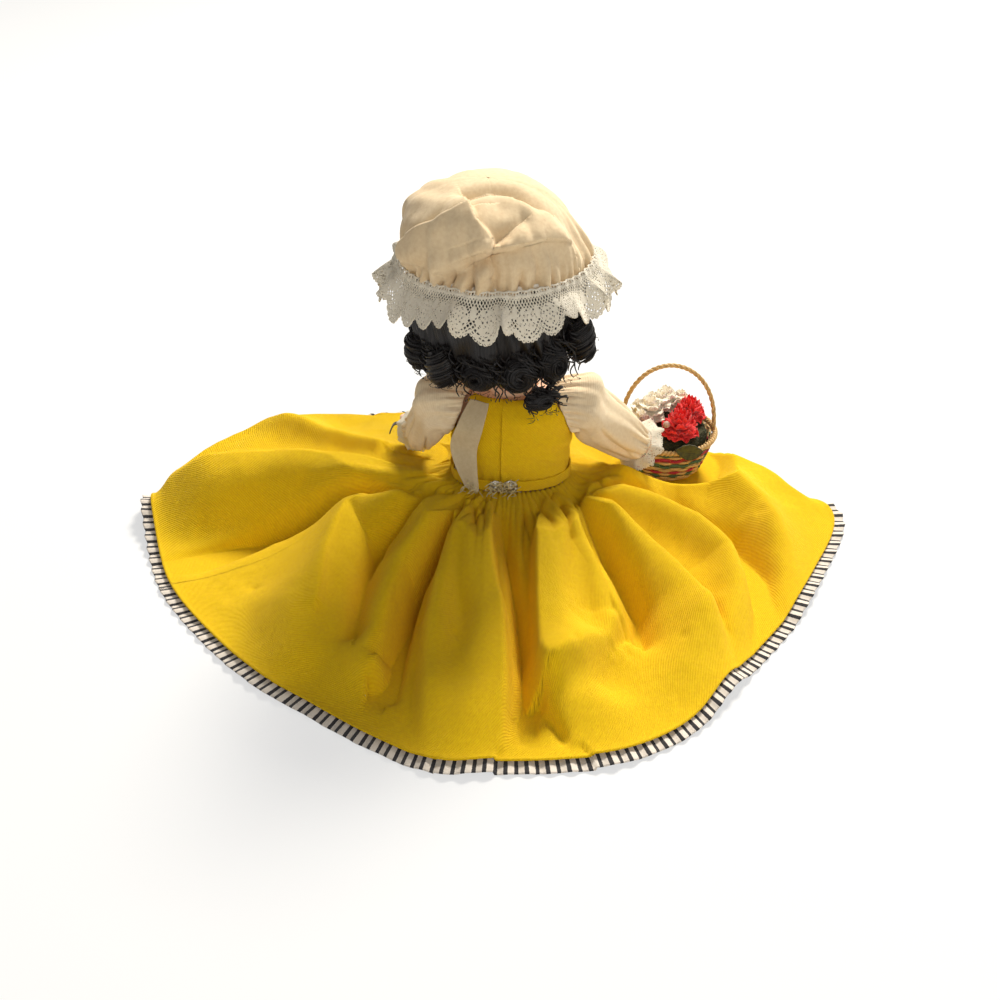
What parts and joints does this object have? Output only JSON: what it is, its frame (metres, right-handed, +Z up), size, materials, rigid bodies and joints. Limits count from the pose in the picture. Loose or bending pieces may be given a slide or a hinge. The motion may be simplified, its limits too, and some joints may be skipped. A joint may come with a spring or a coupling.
{
  "type": "collector doll",
  "caption": "Seated strung costume doll with swivelling head, sleeping eyes, jointed limbs, mob cap, gathered yellow skirt and a flower basket; made to sit on display.",
  "frame": {"origin": "centre of the flat underside of the seat, on the surface that the doll sits on", "axes": "+Y is the way the doll faces, +X is to its right, +Z is up"},
  "size_m": [0.2386, 0.2022, 0.1278],
  "materials": {
    "flesh_plastic": "hard plastic, satin flesh colour",
    "elastic_cord": "fabric-covered elastic",
    "steel_wire": "bent steel wire",
    "rocker_metal": "dull cast weight on a wire",
    "eye_plastic": "polished plastic eyes",
    "yellow_twill": "bright yellow cotton twill",
    "white_cotton": "plain white cotton",
    "striped_cotton": "cotton with narrow black and white stripes",
    "cream_cotton": "fine ecru cotton",
    "cotton_lace": "off-white net lace with a scalloped edge",
    "cap_elastic": "thin covered elastic",
    "black_ribbon": "narrow black ribbon",
    "snap_metal": "pressed metal snap",
    "tag_cloth": "bare woven cloth tag",
    "shoe_vinyl": "black moulded vinyl",
    "hair_fibre": "black curled synthetic fibre",
    "straw": "woven dried straw, natural with dyed strands",
    "moss": "dark dyed moss",
    "red_petal": "red cloth petals",
    "white_petal": "off-white cloth petals",
    "pink_petal": "greyish pink cloth petals",
    "leaf_cloth": "dark green waxed leaf"
  },
  "bodies": {
    "torso": {"torso_front": "flesh_plastic", "torso_back": "flesh_plastic", "arm_elastic": "elastic_cord", "leg_elastic": "elastic_cord", "bodice_front": "yellow_twill", "bodice_back_right": "yellow_twill", "bodice_back_left": "yellow_twill", "waistband": "yellow_twill", "pantaloons_seat": "white_cotton", "skirt": "yellow_twill", "petticoat": "white_cotton", "striped_ruffle": "striped_cotton", "snap_socket": "snap_metal", "snap_stud": "snap_metal", "cloth_tag": "tag_cloth"},
    "head": {"head_front": "flesh_plastic", "head_back": "flesh_plastic", "head_hook": "steel_wire", "wig_cap": "hair_fibre", "wig_curl_1": "hair_fibre", "wig_curl_2": "hair_fibre", "wig_curl_3": "hair_fibre", "wig_curl_4": "hair_fibre", "wig_curl_5": "hair_fibre", "wig_curl_6": "hair_fibre", "wig_curl_7": "hair_fibre", "cap_crown": "cream_cotton", "cap_elastic": "cap_elastic", "cap_lace": "cotton_lace"},
    "eyes": {"eye_right": "eye_plastic", "eye_left": "eye_plastic", "eye_rocker": "rocker_metal"},
    "arm_right": {"arm_right": "flesh_plastic", "arm_hook_right": "steel_wire", "sleeve_right": "cream_cotton", "cuff_lace_right": "cotton_lace"},
    "arm_left": {"arm_left": "flesh_plastic", "arm_hook_left": "steel_wire", "sleeve_left": "cream_cotton", "cuff_lace_left": "cotton_lace", "wrist_ribbon": "black_ribbon"},
    "basket": {"basket_body": "straw", "basket_moss": "moss", "basket_handle": "straw", "red_flower_1": "red_petal", "red_flower_2": "red_petal", "white_blossom_1": "white_petal", "white_blossom_2": "white_petal", "pink_flower": "pink_petal", "basket_leaf": "leaf_cloth"},
    "leg_right": {"leg_right": "flesh_plastic", "leg_hook_right": "steel_wire", "sock_right": "white_cotton", "shoe_right": "shoe_vinyl", "pantaloon_leg_right": "white_cotton"},
    "leg_left": {"leg_left": "flesh_plastic", "leg_hook_left": "steel_wire", "sock_left": "white_cotton", "shoe_left": "shoe_vinyl", "pantaloon_leg_left": "white_cotton"}
  },
  "joints": [
    {"name": "neck_swivel", "type": "hinge", "parent": "torso", "child": "head", "pos_m": [0, 0, 0.061], "axis": [-0.1564, 0, 0.9877], "range_deg": [-60, 60]},
    {"name": "eye_roll", "type": "hinge", "parent": "head", "child": "eyes", "pos_m": [-0.00454, 0.0157, 0.08964], "axis": [0.9877, 0, 0.1564], "range_deg": [-70, 0]},
    {"name": "shoulder_right", "type": "hinge", "parent": "torso", "child": "arm_right", "pos_m": [0.0198, 0, 0.0555], "axis": [1, 0, 0], "range_deg": [-25, 100]},
    {"name": "shoulder_left", "type": "hinge", "parent": "torso", "child": "arm_left", "pos_m": [-0.0198, 0, 0.0555], "axis": [1, 0, 0], "range_deg": [-40, 100]},
    {"name": "hip_right", "type": "hinge", "parent": "torso", "child": "leg_right", "pos_m": [0.0126, 0.002, 0.013], "axis": [1, 0, 0], "range_deg": [-90, 10], "deforming": ["skirt", "petticoat", "striped_ruffle", "pantaloons_seat"]},
    {"name": "hip_left", "type": "hinge", "parent": "torso", "child": "leg_left", "pos_m": [-0.0126, 0.002, 0.013], "axis": [1, 0, 0], "range_deg": [-90, 10]},
    {"name": "basket_swing", "type": "hinge", "parent": "arm_right", "child": "basket", "pos_m": [0.049, 0.0235, 0.024], "axis": [1, 0, 0], "range_deg": [-20, 35]}
  ]
}
